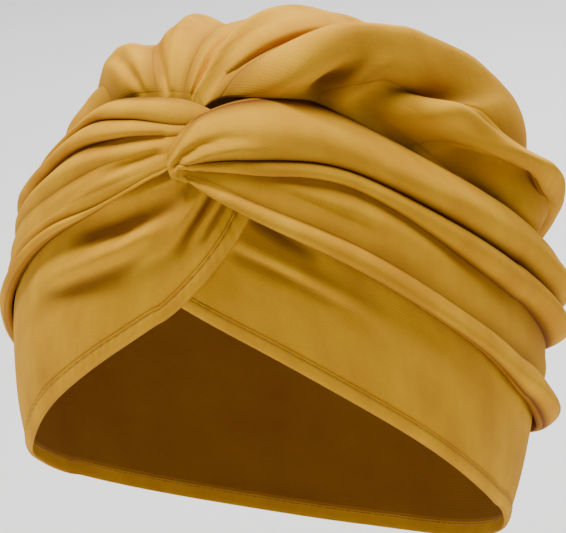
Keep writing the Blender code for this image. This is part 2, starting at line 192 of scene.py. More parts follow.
def bunched(steps):
    # places across a fold, closer together by its creases
    return (1 - np.cos(np.pi * np.linspace(0, 1, steps + 1))) / 2


def foldField(u, v, folds, scale):
    # height of drawn folds at each place: positive for ridges and negative for creases, in metres
    u, v = u * scale[0], v * scale[1]
    total = np.zeros(np.shape(u))
    for path, rise, width, startShare, endShare in folds:
        path = np.asarray(path, float) * scale
        lengths = np.linalg.norm(np.diff(path, axis=0), axis=1)
        reached = np.concatenate([[0], np.cumsum(lengths)]) / lengths.sum()
        nearest = np.full(np.shape(u), np.inf)
        along = np.zeros(np.shape(u))
        for number, start in enumerate(path[:-1]):
            run = path[number + 1] - start
            t = np.clip(((u - start[0]) * run[0] + (v - start[1]) * run[1]) / (run @ run), 0, 1)
            away = np.hypot(u - start[0] - t * run[0], v - start[1] - t * run[1])
            closer = away < nearest
            nearest = np.where(closer, away, nearest)
            share = reached[number] + (reached[number + 1] - reached[number]) * t
            along = np.where(closer, share, along)
        fade = np.sin(np.pi * (startShare + (endShare - startShare) * along))
        total += rise * np.clip(fade, 0, 1) * np.exp(-(nearest / width) ** 2)
    return total * millimetre


def paintedHollowShade(height, spread, depth):
    # how far each place lies below the cloth around it, as a share of depth, for painted shade in hollows
    around = height
    for _ in range(spread):
        padded = np.pad(around, 1, mode="edge")
        around = (padded[:-2, 1:-1] + padded[2:, 1:-1] + 2 * padded[1:-1, :-2] + 2 * padded[1:-1, 2:]
                  + 2 * around) / 8
    return np.clip((around - height) / depth, 0, 1)


def closedShell(outer, inner):
    # right side, wrong side and the rim between them, as one closed mesh
    rows, columns = outer.shape[:2]
    number = np.arange(2 * rows * columns).reshape(2, rows, columns)

    def quads(grid):
        corners = (grid[:-1, :-1], grid[1:, :-1], grid[1:, 1:], grid[:-1, 1:])
        return np.stack(corners, axis=-1).reshape(-1, 4)

    rimOuter = np.concatenate([number[0, 0, :-1], number[0, :-1, -1],
                               number[0, -1, :0:-1], number[0, :0:-1, 0]])
    rimInner = rimOuter + rows * columns
    rim = np.stack([rimOuter, np.roll(rimOuter, -1), np.roll(rimInner, -1), rimInner], axis=-1)
    faces = np.concatenate([quads(number[0]), quads(number[1])[:, ::-1], rim])
    return np.concatenate([outer.reshape(-1, 3), inner.reshape(-1, 3)]), faces


def addPiece(name, vertices, faces, material):
    mesh = bpy.data.meshes.new(name)
    mesh.from_pydata(vertices, [], faces)
    shape = bmesh.new()
    shape.from_mesh(mesh)
    bmesh.ops.recalc_face_normals(shape, faces=shape.faces)
    shape.to_mesh(mesh)
    shape.free()
    mesh.shade_smooth()
    mesh.materials.append(material)
    piece = bpy.data.objects.new(name, mesh)
    bpy.context.scene.collection.objects.link(piece)
    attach(piece, "root")
    print("head wrap:", name)
    return piece


def addSheet(name, outer, inner, weave, creaseShade, insideShade, material):
    # weave: place of each point on the flat cloth, in metres. The painted shade: 0 on a fold to 1 in a
    # valley.
    # and one painted shade for the whole of the wrong side
    vertices, faces = closedShell(outer, inner)
    piece = addPiece(name, vertices.tolist(), faces.tolist(), material)
    flat = np.concatenate([weave.reshape(-1, 2)] * 2)
    places = piece.data.attributes.new("weavePlace", "FLOAT_VECTOR", "POINT")
    places.data.foreach_set("vector", np.column_stack([flat, np.zeros(len(flat))]).ravel())
    # the painted shade, by the creases on the right side and even on the wrong side, kept on the points
    depth = np.concatenate([np.ravel(creaseShade), np.full(creaseShade.size, insideShade)])
    piece.data.attributes.new("creaseShade", "FLOAT", "POINT").data.foreach_set("value", depth)
    return piece


# Cloth materials

def newGroup(name, inputs, outputs):
    group = bpy.data.node_groups.new(name, "ShaderNodeTree")
    for direction, sockets in (("INPUT", inputs), ("OUTPUT", outputs)):
        for socketName, kind in sockets:
            group.interface.new_socket(name=socketName, in_out=direction, socket_type=kind)
    return group, group.nodes.new("NodeGroupInput"), group.nodes.new("NodeGroupOutput")


def feed(tree, socket, value):
    # a number is set on the socket, and another node's output is linked to it
    if isinstance(value, (int, float)):
        socket.default_value = value
    elif value is not None:
        tree.links.new(value, socket)


def mathNode(tree, operation, first, second=None):
    node = tree.nodes.new("ShaderNodeMath")
    node.operation = operation
    for socket, value in zip(node.inputs, (first, second)):
        feed(tree, socket, value)
    return node.outputs[0]


jerseyLook = {
    "light": (0.80, 0.415, 0.016, 1.0),
    "deep": (0.62, 0.282, 0.014, 1.0),
    # colour of the painted shade in creases, hollows and on the wrong side
    "valley": (0.16, 0.045, 0.010, 1.0),
    "insideShade": 0.80,         # share of that painted shade colour on the wrong side of the cloth, for the shade inside the wrap
    # painted shade on the wrong side of the hem, lighter than inside the rest
    "hemInsideShade": 0.25,
    "roughness": 0.80,
    "specular": 0.07,
    "sheen": 0.015,
    "sheenRoughness": 0.45,
    "sheenTint": (1.0, 0.82, 0.50, 1.0),
    "bump": 0.35,
    "bumpDistance": 0.00025,
    "ribSpacing": 0.0011,
    "ribHeight": 0.35,      # heights are shares of the bump distance
    "stitchSlant": 1.5,
    "stitchHeight": 0.2,
    "fuzzScale": 1800.0,
    "fuzzDetail": 3.0,
    "fuzzHeight": 0.8,
    "patchScale": 40.0,
    "patchDetail": 4.0,
    "patchSpread": 2.4,     # how strongly the patches go to either colour
    "patchOffset": 1.2,
}


def addJerseyKnit(look):
    # fine knit ribs and stitches as a height, and a soft change of tone over the cloth
    group, given, result = newGroup(
        "jerseyKnit",
        (("Place", "NodeSocketVector"), ("Rib Spacing", "NodeSocketFloat"),
         ("Patch Scale", "NodeSocketFloat")),
        (("Height", "NodeSocketFloat"), ("Tone", "NodeSocketFloat")))
    nodes, links = group.nodes, group.links

    def clouds(scale, detail):
        texture = nodes.new("ShaderNodeTexNoise")
        feed(group, texture.inputs["Scale"], scale)
        feed(group, texture.inputs["Detail"], detail)
        links.new(given.outputs["Place"], texture.inputs["Vector"])
        return texture.outputs["Fac"]

    split = nodes.new("ShaderNodeSeparateXYZ")
    links.new(given.outputs["Place"], split.inputs[0])
    turns = mathNode(group, "DIVIDE", 2 * np.pi, given.outputs["Rib Spacing"])
    ribs = mathNode(group, "SINE", mathNode(group, "MULTIPLY", split.outputs["X"], turns))
    slant = mathNode(group, "ABSOLUTE", ribs)
    rows = mathNode(group, "MULTIPLY", split.outputs["Y"], turns)
    slanted = mathNode(group, "ADD", rows, mathNode(group, "MULTIPLY", slant, look["stitchSlant"]))
    stitches = mathNode(group, "SINE", slanted)
    knit = mathNode(group, "ADD", mathNode(group, "MULTIPLY", slant, look["ribHeight"]),
                    mathNode(group, "MULTIPLY", stitches, look["stitchHeight"]))
    fuzz = clouds(look["fuzzScale"], look["fuzzDetail"])
    links.new(mathNode(group, "ADD", knit, mathNode(group, "MULTIPLY", fuzz, look["fuzzHeight"])),
              result.inputs["Height"])
    patches = clouds(given.outputs["Patch Scale"], look["patchDetail"])
    patches = mathNode(group, "MULTIPLY", patches, look["patchSpread"])
    links.new(mathNode(group, "SUBTRACT", mathNode(group, "ADD", patches, fuzz), look["patchOffset"]),
              result.inputs["Tone"])
    return group


jerseyKnit = addJerseyKnit(jerseyLook)


def addJersey(name, look):
    material = bpy.data.materials.new(name)
    material.use_nodes = True
    tree = material.node_tree
    shader = tree.nodes["Principled BSDF"]
    shader.inputs["Roughness"].default_value = look["roughness"]
    shader.inputs["Specular IOR Level"].default_value = look["specular"]
    shader.inputs["Sheen Weight"].default_value = look["sheen"]
    shader.inputs["Sheen Roughness"].default_value = look["sheenRoughness"]
    shader.inputs["Sheen Tint"].default_value = look["sheenTint"]

    place = tree.nodes.new("ShaderNodeAttribute")
    place.attribute_name = "weavePlace"
    # painted shade, read from a point attribute of the cloth
    creaseShade = tree.nodes.new("ShaderNodeAttribute")
    creaseShade.attribute_name = "creaseShade"
    knit = tree.nodes.new("ShaderNodeGroup")
    knit.node_tree = jerseyKnit
    knit.inputs["Rib Spacing"].default_value = look["ribSpacing"]
    knit.inputs["Patch Scale"].default_value = look["patchScale"]
    tree.links.new(place.outputs["Vector"], knit.inputs["Place"])

    tone = tree.nodes.new("ShaderNodeMix")
    tone.data_type = "RGBA"
    tone.inputs["A"].default_value = look["deep"]
    tone.inputs["B"].default_value = look["light"]
    tree.links.new(knit.outputs["Tone"], tone.inputs["Factor"])
    # painted shade: the dark colour is mixed in where the shade attribute is high
    valley = tree.nodes.new("ShaderNodeMix")
    valley.data_type = "RGBA"
    valley.inputs["B"].default_value = look["valley"]
    tree.links.new(creaseShade.outputs["Fac"], valley.inputs["Factor"])
    tree.links.new(tone.outputs["Result"], valley.inputs["A"])
    tree.links.new(valley.outputs["Result"], shader.inputs["Base Color"])

    bump = tree.nodes.new("ShaderNodeBump")
    bump.inputs["Strength"].default_value = look["bump"]
    bump.inputs["Distance"].default_value = look["bumpDistance"]
    tree.links.new(knit.outputs["Height"], bump.inputs["Height"])
    tree.links.new(bump.outputs["Normal"], shader.inputs["Normal"])
    return material


jersey = addJersey("mustard jersey", jerseyLook)
print("head wrap: jersey")


# Folded bands, from the twist to the back seam

leftBand = {
    "name": "left_twist_cloth",
    "node": "left_twist_band",
    "side": 1,
    "rows": 240,            # along the band
    "steps": 22,            # across each fold
    # layers of cloth beneath, and fullness, at each station
    "stations": ((3.0, 0.0), (3.3, 0.4), (3.4, 0.8), (3.1, 1.0), (1.6, 1.0), (1.5, 1.2), (1.8, 1.4),
                 (1.4, 1.2), (1.0, 0.7)),
    # path of each crease, swell and roundness of the fold below it, and extra layers beneath the crease
    "folds": (
        (((4, 0.849), (3, 0.875), (6, 0.945), (22, 1.000), (55, 0.972), (83, 0.788), (108, 0.545),
          (142, 0.40), (180, 0.34)), 0.32, 0.75, 0.0),
        (((5, 0.847), (5, 0.868), (9, 0.880), (24, 0.888), (54, 0.838), (84, 0.618), (109, 0.395),
          (143, 0.30), (180, 0.25)), 0.50, 0.90, 0.4),
        (((6, 0.845), (6, 0.862), (11, 0.864), (25, 0.855), (53, 0.798), (81, 0.555), (109, 0.315),
          (143, 0.22), (180, 0.18)), 0.06, 0.30, -0.6),
        (((7, 0.843), (7.5, 0.853), (13, 0.848), (23, 0.808), (48, 0.680), (77, 0.450), (105, 0.215),
          (142, 0.11), (180, 0.07)), 0.40, 0.85, -0.6),
        (((8, 0.840), (8.5, 0.842), (12.5, 0.820), (22, 0.768), (46, 0.625), (74, 0.400), (101, 0.148),
          (140, 0.01), (180, -0.03)), 0.0, 0.0, 0.0),
    ),
    # path in azimuth and height, rise, width, and where along its swell the fold starts and ends
    "drawn": (
        (((3.5, 0.887), (7.5, 0.934), (11.5, 0.975), (16, 0.99)), -1.7, 0.009, 0.2, 1.0),
        (((4.5, 0.866), (7.5, 0.900), (13.0, 0.925), (19.5, 0.938), (30, 0.940)), -1.9, 0.009, 0.2, 1.0),
        (((5.0, 0.862), (9.0, 0.884), (15, 0.905), (24, 0.918), (34, 0.915)), 1.3, 0.008, 0.2, 1.0),
        (((20, 0.935), (39, 0.918), (54.5, 0.870), (66, 0.80)), -1.0, 0.026, 0.1, 1.0),
        (((18, 0.965), (34, 0.958), (52, 0.930), (64, 0.87)), 0.8, 0.024, 0.0, 1.0),
        (((12, 0.853), (20, 0.838), (30, 0.812), (44, 0.760), (58, 0.68)), -2.2, 0.018, 0.25, 1.0),
        (((9, 0.852), (14, 0.847), (23, 0.812), (36, 0.750), (48, 0.686), (62, 0.59)),
         -2.2, 0.009, 0.2, 1.0),
        (((26, 0.850), (36, 0.820), (50, 0.760), (64, 0.67)), 1.4, 0.018, 0.0, 1.0),
        (((60, 0.905), (80, 0.745), (100, 0.545), (125, 0.42)), -1.4, 0.018, 0.0, 1.0),
        (((50, 0.655), (70, 0.480), (90, 0.290), (112, 0.13)), -1.2, 0.016, 0.0, 1.0),
        (((40, 0.845), (56, 0.745), (74, 0.585), (92, 0.42)), 1.0, 0.020, 0.0, 1.0),
    ),
    "flat": (0.34, 0.072),
}
rightBand = {
    "name": "right_pleated_cloth",
    "node": "right_pleated_band",
    "side": -1,
    "rows": 220,
    "steps": 15,
    "stations": ((2.0, 0.1), (2.0, 0.4), (2.0, 1.0), (1.5, 0.8), (1.1, 0.7), (1.0, 0.9), (1.0, 1.0),
                 (1.0, 0.7)),
    "folds": (
        (((17, 0.985), (9, 1.004), (-10, 1.005), (-36, 0.965), (-65, 0.800), (-96, 0.600), (-138, 0.41),
          (-180, 0.34)), 0.44, 0.80, 0.0),
        (((9, 0.958), (5, 0.957), (-13, 0.959), (-38, 0.915), (-66, 0.740), (-96, 0.525),
          (-138, 0.345), (-180, 0.28)), 0.50, 0.80, 0.0),
        (((8, 0.937), (3.5, 0.934), (-14, 0.918), (-37, 0.852), (-66, 0.655), (-96, 0.440),
          (-138, 0.27), (-180, 0.21)), 0.20, 0.40, 0.0),
        (((7, 0.915), (1.5, 0.897), (-15, 0.862), (-36, 0.760), (-66, 0.590), (-97, 0.370),
          (-139, 0.20), (-180, 0.14)), 0.07, 0.0, 0.7),
        (((6, 0.896), (1, 0.874), (-15, 0.810), (-35, 0.712), (-66, 0.520), (-97, 0.300),
          (-139, 0.13), (-180, 0.08)), 0.16, 0.25, 0.6),
        (((5, 0.880), (0.5, 0.857), (-15, 0.770), (-34.5, 0.681), (-65, 0.470), (-97, 0.235),
          (-139, 0.07), (-180, 0.03)), 0.38, 0.90, 0.0),
        (((4, 0.870), (0.0, 0.846), (-16, 0.752), (-36, 0.635), (-65, 0.400), (-97, 0.150),
          (-139, 0.00), (-180, -0.03)), 0.0, 0.0, 0.0),
    ),
    "drawn": (
        (((-4, 0.985), (-24, 0.965), (-44, 0.90)), -0.7, 0.012, 0.0, 1.0),
        (((0, 0.928), (-10, 0.912), (-20, 0.89), (-30, 0.85)), -1.8, 0.012, 0.25, 1.0),
        (((0, 0.895), (-8, 0.868), (-17, 0.83)), -1.8, 0.012, 0.25, 1.0),
        (((-14, 0.900), (-30, 0.840), (-48, 0.740), (-66, 0.62)), 1.6, 0.024, 0.0, 1.0),
        (((-6, 0.858), (-16, 0.812), (-28, 0.745)), 1.0, 0.012, 0.1, 1.0),
    ),
    "flat": (0.33, 0.075),
}
bandFinish = {
    "rippleHeight": 0.0007,
    "rippleAcross": 130.0,
    "rippleAlong": 16.0,
    "rippleSeed": 3.0,
    "rippleLift": 0.003,        # lift of the cloth from which its ripples are full
    "rippleGain": 1.5,          # ripples start where fullness times the gain is over the loss
    "rippleLoss": 0.3,
    "waverHeight": 0.0012,
    "waverScale": 28.0,
    "waverSeed": 9.0,
    "drawnGain": 2.0,           # over 1, the drawn folds are full before the band is
    "deepest": -0.4,            # how far a crease sinks at most, in thicknesses of the cloth
    "valleySlope": 1.6,         # over 1, the painted shade of a valley is narrower than the folds beside it
    # painted shade, darker in the creases and in the hollows below the cloth around them
    "creaseShadeDepth": 0.70,
    "leastCreaseShade": 0.4,
    "hollowShadeDepth": 0.55,
    "hollowShadeSpread": 60,
    "hollowShadeFull": 0.0022,
    "topSamples": 200,
}


def addBand(band, finish, material):
    folds = band["folds"]
    paths = np.transpose([fold[0] for fold in folds], (1, 0, 2))
    places = spreadOut(paths[..., 0])
    at = np.linspace(0, places[-1], band["rows"] + 1)
    layers, full = curveThrough(places, band["stations"], at).T
    full = np.clip(full, 0, None)
    creases = curveThrough(places, paths, at)
    across = bunched(band["steps"])[None, :-1]
    azimuths, heights, lifts, valleys, cross = [], [], [], [], []
    for number, (_, swell, roundShare, raised) in enumerate(folds[:-1]):
        start, end = creases[:, number, None, :], creases[:, number + 1, None, :]
        run = start + (end - start) * across[..., None]
        edges = onForm(creases[:, number:number + 2, 0], creases[:, number:number + 2, 1], 0)
        width = np.linalg.norm(edges[:, 1] - edges[:, 0], axis=-1)[:, None]
        step = (raised + (folds[number + 1][3] - raised) * across) * layer
        profile = foldProfile(across, roundShare)
        azimuths.append(run[..., 0])
        heights.append(run[..., 1])
        lifts.append(step + swell * width * profile)
        # painted shade along the creases at each fold's edges
        sharpness = min(1, finish["valleySlope"] * roundShare)
        low = sharpness * np.clip(1 - finish["valleySlope"] * profile, 0, 1)
        valleys.append(np.broadcast_to(low, run.shape[:2]))
        cross.append(width * across + (cross[-1][:, -1:] if cross else 0))
    azimuth = np.concatenate(azimuths + [creases[:, -1:, 0]], axis=1)
    height = np.concatenate(heights + [creases[:, -1:, 1]], axis=1)
    lift = np.concatenate(lifts + [np.zeros_like(azimuth[:, :1])], axis=1) * full[:, None]
    valley = np.concatenate(valleys + [np.zeros_like(azimuth[:, :1])], axis=1)
    valley[:, 0] = 0
    crossPlace = np.concatenate(cross + [cross[-1][:, -1:]], axis=1)
    under = layers[:, None] * layer
    inner = onForm(azimuth, height, under)
    base = onForm(azimuth, height, under + cloth["folded"])
    alongPlace = np.broadcast_to(lengthAlong(base.mean(axis=1))[:, None], azimuth.shape)

    drawn = foldField(azimuth, height, band["drawn"], (degree, 1))
    rippled = np.clip(full * finish["rippleGain"] - finish["rippleLoss"], 0, 1)[:, None]
    rippled = np.clip(lift / finish["rippleLift"], 0, 1) * rippled
    ripple = softNoise(alongPlace * finish["rippleAlong"], crossPlace * finish["rippleAcross"],
                       finish["rippleSeed"])
    waver = softNoise(alongPlace * finish["waverScale"], crossPlace * finish["waverScale"],
                      finish["waverSeed"])
    lift = lift + rippled * (ripple * finish["rippleHeight"] + waver * finish["waverHeight"])
    drawn = drawn * np.clip(full * finish["drawnGain"], 0, 1)[:, None]
    lift = np.maximum(lift + drawn, finish["deepest"] * cloth["folded"])
    outer = onForm(azimuth, height, under + cloth["folded"] + lift)
    for grid in (outer, inner):
        grid[-1, :, 0] = band["side"] * cloth["gap"] / 2
    # painted shade from the creases and the hollows
    creaseShade = finish["creaseShadeDepth"] * valley * np.clip(full, finish["leastCreaseShade"], 1)[:, None]
    hollowShade = paintedHollowShade(lift, finish["hollowShadeSpread"], finish["hollowShadeFull"])
    creaseShade = np.clip(creaseShade + finish["hollowShadeDepth"] * hollowShade, 0, 1)
    piece = addSheet(band["name"], outer, inner, np.stack([crossPlace, alongPlace], axis=-1), creaseShade,
                     jerseyLook["insideShade"], material)
    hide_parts(band["node"])


addBand(leftBand, bandFinish, jersey)
addBand(rightBand, bandFinish, jersey)


def bandTop(azimuth):
    # height of the bands' top edge all round
    def topRows(band):
        path = np.array(band["folds"][0][0], float)
        places = spreadOut(np.transpose([fold[0] for fold in band["folds"]], (1, 0, 2))[..., 0])
        return curveThrough(places, path, np.linspace(0, places[-1], bandFinish["topSamples"]))

    left, right = topRows(leftBand), topRows(rightBand)
    meeting = rightBand["folds"][0][0][1][0]
    rows = np.concatenate([right[right[:, 0] <= meeting][::-1], left[left[:, 0] > meeting]])
    return np.interp(azimuth, rows[:, 0], rows[:, 1])


# Headband, with its hem and stitching

headbandCloth = {
    "name": "headband_cloth",
    "rows": 420,
    "steps": 56,
    # azimuth and height of the hem, azimuth and height of the top edge, and layers of cloth beneath
    "path": (
        (-14, 0.660, -12, 0.93, 0.0), (4.5, 0.544, 5, 0.94, 0.0), (24, 0.428, 23, 0.93, 0.0),
        (50.5, 0.247, 52, 0.90, 0.0), (79.5, 0.038, 80, 0.74, 0.0), (105, -0.125, 105, 0.50, 0.0),
        (140, -0.240, 140, 0.33, 0.0), (180, -0.270, 180, 0.27, 0.0), (220, -0.225, 220, 0.33, 0.0),
        (258, -0.120, 260, 0.52, 0.0), (290, 0.025, 292, 0.71, 0.0), (311, 0.122, 314, 0.84, 0.15),
        (332, 0.284, 333, 0.92, 0.65), (346, 0.393, 347, 0.935, 1.0), (358.5, 0.497, 358, 0.935, 1.0),
        (370, 0.620, 368, 0.93, 1.0), (384, 0.775, 376, 0.90, 1.0),
    ),
    # path in azimuth and height, rise, width, and where along its swell the fold starts and ends
    "gathers": (
        (((371, 0.842), (361, 0.747), (353.5, 0.684), (344, 0.634), (332.5, 0.584), (318, 0.519)),
         4.8, 0.028, 0.25, 1.0),
        (((370, 0.850), (365, 0.790), (359, 0.748), (352, 0.716), (343, 0.690), (334, 0.672)),
         -4.0, 0.022, 0.25, 1.0),
        (((360, 0.690), (350, 0.620), (338, 0.565), (324, 0.505)), -1.8, 0.030, 0.0, 1.0),
        (((368, 0.855), (354, 0.800), (341, 0.762), (326, 0.705)), 2.2, 0.022, 0.2, 1.0),
        (((374, 0.815), (367.5, 0.7375), (363, 0.67)), -2.6, 0.012, 0.3, 1.0),
        (((373, 0.825), (365.5, 0.741), (360.5, 0.685), (352, 0.60)), 2.0, 0.016, 0.3, 1.0),
        (((375.5, 0.805), (369.5, 0.7375), (366, 0.69)), 1.8, 0.012, 0.3, 1.0),
        (((377, 0.795), (371.8, 0.7375), (369, 0.69)), -2.0, 0.010, 0.3, 1.0),
        (((338, 0.49), (326, 0.40), (312, 0.33)), 1.2, 0.040, 0.0, 1.0),
        (((24, 0.750), (30, 0.706), (38, 0.66)), -2.4, 0.018, 0.3, 1.0),
        (((18.5, 0.705), (28, 0.653), (37.5, 0.591), (52, 0.49)), 2.4, 0.022, 0.2, 1.0),
        (((17.5, 0.675), (31, 0.6125), (48, 0.51)), -1.8, 0.016, 0.2, 1.0),
        (((46, 0.53), (62, 0.41), (76, 0.27)), 0.9, 0.040, 0.0, 1.0),
    ),
    "hemFade": 0.004,       # how far above the hem its puckers and the flat stretch end
    "rippleHeight": 0.0012,
    "rippleAlong": 14.0,
    "rippleAcross": 30.0,
    "rippleSeed": 1.0,
    "deepest": -0.0011,
    "innerRise": 0.9,       # share of each ridge that the wrong side follows
    # painted shade in the hollows of the gathers and along the hem's top edge
    "hollowShadeDepth": 0.85,
    "hollowShadeSpread": 90,
    "hollowShadeFull": 0.0020,
    "seamShadeDepth": 0.35,
    "seamShadeWidth": 0.0006,
    "flat": (0.76, 0.080),
}
hemCloth = {
    "name": "turned_hem",
    "rows": 700,
    "steps": 12,
    "puckerHeight": 0.00018,
    "puckerLength": 0.0048,
    "puckerShift": 2.5,     # how unevenly the puckers stand, in radians
    "puckerScale": 60.0,
    "puckerSeed": 5.0,
    "puckerAtEdge": 0.4,    # share of their height at the hem's edge
    "flatRelief": 0.5,      # share of the hem's relief at its edges
    "stitchInset": 0.0009,
    "grooveWidth": 0.0004,
    "grooveDepth": 0.0003,
    "turnOut": 0.0005,      # how far the turned edge rounds off on the right side and on the wrong side
    "turnIn": 0.0004,
    # painted shade in the stitch groove and where the turned edge rolls under
    "grooveShade": 0.55,
    "edgeShade": 0.3,
    "edgeShadeWidth": 0.0004,
    "flat": (0.76, 0.011),
    "seenArea": 0.0062,     # one face of it, once turned
}
stitching = {
    "name": "hem_stitches",
    "length": 0.0021,
    "spacing": 0.0030,
    "radius": 0.00022,
    "sides": 6,
    "rings": (0.0, 0.15, 0.5, 0.85, 1.0),
    "thinnest": 0.05,
    "flatness": 0.7,
    "proudOutside": 0.0002,
    "proudInside": 0.0001,
    "colour": (0.42, 0.19, 0.02, 1.0),
    "shade": 0.7,           # share of the colour in the thread's darker places
    "mottleScale": 900.0,
    "roughness": 0.55,
}


def headbandRows(rowCount):
    # places of the hem and the top edge, width, length from the start, and lift, row by row
    path = headbandCloth["path"]
    places = spreadOut([row[0] for row in path])
    rows = curveThrough(places, path, np.linspace(0, places[-1], rowCount + 1))
    hem, top = rows[:, 0:2], rows[:, 2:4]
    edge, above = onForm(*hem.T, 0), onForm(*top.T, 0)
    slope = np.gradient(edge, axis=0)
    slope /= np.linalg.norm(slope, axis=1, keepdims=True)
    rise = above - edge
    width = np.linalg.norm(rise - (rise * slope).sum(axis=1, keepdims=True) * slope, axis=1)
    return hem, top, width, lengthAlong(edge), np.clip(rows[:, 4:5], 0, 1) * layer


def headbandStrip(rowCount, distances):
    # distances: metres above the hem's edge for each column, or None for the whole cloth
    hem, top, width, along, lift = headbandRows(rowCount)
    if distances is None:
        low = cloth["hemWidth"] / width[:, None]
        share = low + (1 - low) * np.linspace(0, 1, headbandCloth["steps"] + 1)
    else:
        share = np.asarray(distances)[None, :] / width[:, None]
    azimuth, height = ((hem[:, part, None] + (top - hem)[:, part, None] * share) for part in (0, 1))
    return azimuth, height, lift, share * width[:, None], along[:, None] + 0 * share


def puckers(hem, along, above):
    shift = hem["puckerShift"] * softNoise(along * hem["puckerScale"], above, hem["puckerSeed"])
    return hem["puckerHeight"] * np.sin(2 * np.pi * along / hem["puckerLength"] + shift)


def addHeadband(band, material):
    azimuth, height, lift, above, along = headbandStrip(band["rows"], None)
    drawn = foldField(azimuth, height, band["gathers"], (degree, 1))
    aboveHem = above - cloth["hemWidth"]
    nearHem = np.exp(-(aboveHem / band["hemFade"]) ** 2)
    ripple = softNoise(along * band["rippleAlong"], above * band["rippleAcross"], band["rippleSeed"])
    ripple = ripple * band["rippleHeight"] * (1 - nearHem)
    rise = drawn * (1 - nearHem) + ripple + puckers(hemCloth, along, above) * nearHem
    outer = onForm(azimuth, height, lift + np.maximum(rise, band["deepest"]) + cloth["thickness"])
    inner = onForm(azimuth, height, lift + np.maximum(rise, 0) * band["innerRise"])
    # painted shade along the hem's top edge and in the hollows of the gathers
    seam = np.exp(-(aboveHem / band["seamShadeWidth"]) ** 2)
    hollowShade = paintedHollowShade(drawn, band["hollowShadeSpread"], band["hollowShadeFull"])
    creaseShade = np.clip(band["hollowShadeDepth"] * hollowShade + band["seamShadeDepth"] * seam, 0, 1)
    piece = addSheet(band["name"], outer, inner, np.stack([along, above], axis=-1), creaseShade,
                     jerseyLook["insideShade"], material)
    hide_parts("headband")


def addHem(hem, material):
    width = cloth["hemWidth"]
    across = bunched(hem["steps"])
    azimuth, height, lift, above, along = headbandStrip(hem["rows"], across * width)
    padding = np.sqrt(np.maximum(0, 1 - (2 * across - 1) ** 2))[None, :]
    groove = np.exp(-((above - (width - hem["stitchInset"])) / hem["grooveWidth"]) ** 2)
    relief = cloth["hemRelief"] * (hem["flatRelief"] + padding) - hem["grooveDepth"] * groove
    atEdge = hem["puckerAtEdge"]
    relief = relief + puckers(hem, along, above) * (atEdge + (1 - atEdge) * above / width)
    rolled = (1 - padding) * (above < width / 2)
    outer = onForm(azimuth, height, lift + cloth["thickness"] + relief - hem["turnOut"] * rolled)
    inner = onForm(azimuth, height, lift + hem["turnIn"] * rolled)
    # painted shade where the turned edge rolls under and in the stitch groove
    edge = np.exp(-(above / hem["edgeShadeWidth"]) ** 2)
    creaseShade = np.clip(hem["grooveShade"] * groove + hem["edgeShade"] * edge, 0, 1)
    piece = addSheet(hem["name"], outer, inner, np.stack([along, above], axis=-1), creaseShade,
                     jerseyLook["hemInsideShade"], material)
    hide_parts("hem")


def addThread(thread):
    material = bpy.data.materials.new("hem thread")
    material.use_nodes = True
    tree = material.node_tree
    shader = tree.nodes["Principled BSDF"]
    shader.inputs["Roughness"].default_value = thread["roughness"]
    texture = tree.nodes.new("ShaderNodeTexNoise")
    texture.inputs["Scale"].default_value = thread["mottleScale"]
    mix = tree.nodes.new("ShaderNodeMix")
    mix.data_type = "RGBA"
    mix.inputs["A"].default_value = thread["colour"]
    mix.inputs["B"].default_value = tuple(thread["shade"] * part for part in thread["colour"][:3]) + (1.0,)
    tree.links.new(texture.outputs["Fac"], mix.inputs["Factor"])
    tree.links.new(mix.outputs["Result"], shader.inputs["Base Color"])
    return material


def addStitches(thread, material):
    # a row of short thread loops on each face of the hem
    seam = cloth["hemWidth"] - hemCloth["stitchInset"]
    azimuth, height, lift = (part[:, 0] for part in headbandStrip(hemCloth["rows"], [seam])[:3])
    sides = np.arange(thread["sides"]) * 2 * np.pi / thread["sides"]
    rings = np.array(thread["rings"])
    ends = (np.arange(len(sides))[::-1], (len(rings) - 1) * len(sides) + np.arange(len(sides)))
    thick = thread["radius"] * np.sqrt(np.clip(1 - (2 * rings - 1) ** 4, thread["thinnest"], 1))
    spacing = thread["spacing"]
    vertices, faces = [], []
    for depth in (cloth["thickness"] + thread["proudOutside"], -thread["proudInside"]):
        line = onForm(azimuth, height, lift + depth)
        outward = onForm(azimuth, height, lift + depth + millimetre) - line
        length = lengthAlong(line)
        for start in np.arange(spacing, length[-1] - spacing, spacing):
            at = start + rings * thread["length"]
            centre = np.stack([np.interp(at, length, line[:, axis]) for axis in range(3)], axis=-1)
            out = np.array([np.interp(start, length, outward[:, axis]) for axis in range(3)])
            out /= np.linalg.norm(out)
            run = centre[-1] - centre[0]
            run /= np.linalg.norm(run)
            circle = (np.cos(sides)[:, None] * np.cross(run, out)
                      + thread["flatness"] * np.sin(sides)[:, None] * out)
            first = len(vertices) * len(rings) * len(sides)
            vertices.append((centre[:, None] + thick[:, None, None] * circle).reshape(-1, 3))
            for ring in range(len(rings) - 1):
                for side in range(len(sides)):
                    a = first + ring * len(sides) + side
                    b = first + ring * len(sides) + (side + 1) % len(sides)
                    faces.append((a, b, b + len(sides), a + len(sides)))
            faces.extend(first + end for end in ends)
    faces = [tuple(map(int, face)) for face in faces]
    piece = addPiece(thread["name"], np.concatenate(vertices).tolist(), faces, material)


addHeadband(headbandCloth, jersey)
addHem(hemCloth, jersey)
addStitches(stitching, addThread(stitching))


# Puffed crown, gathered to the twist

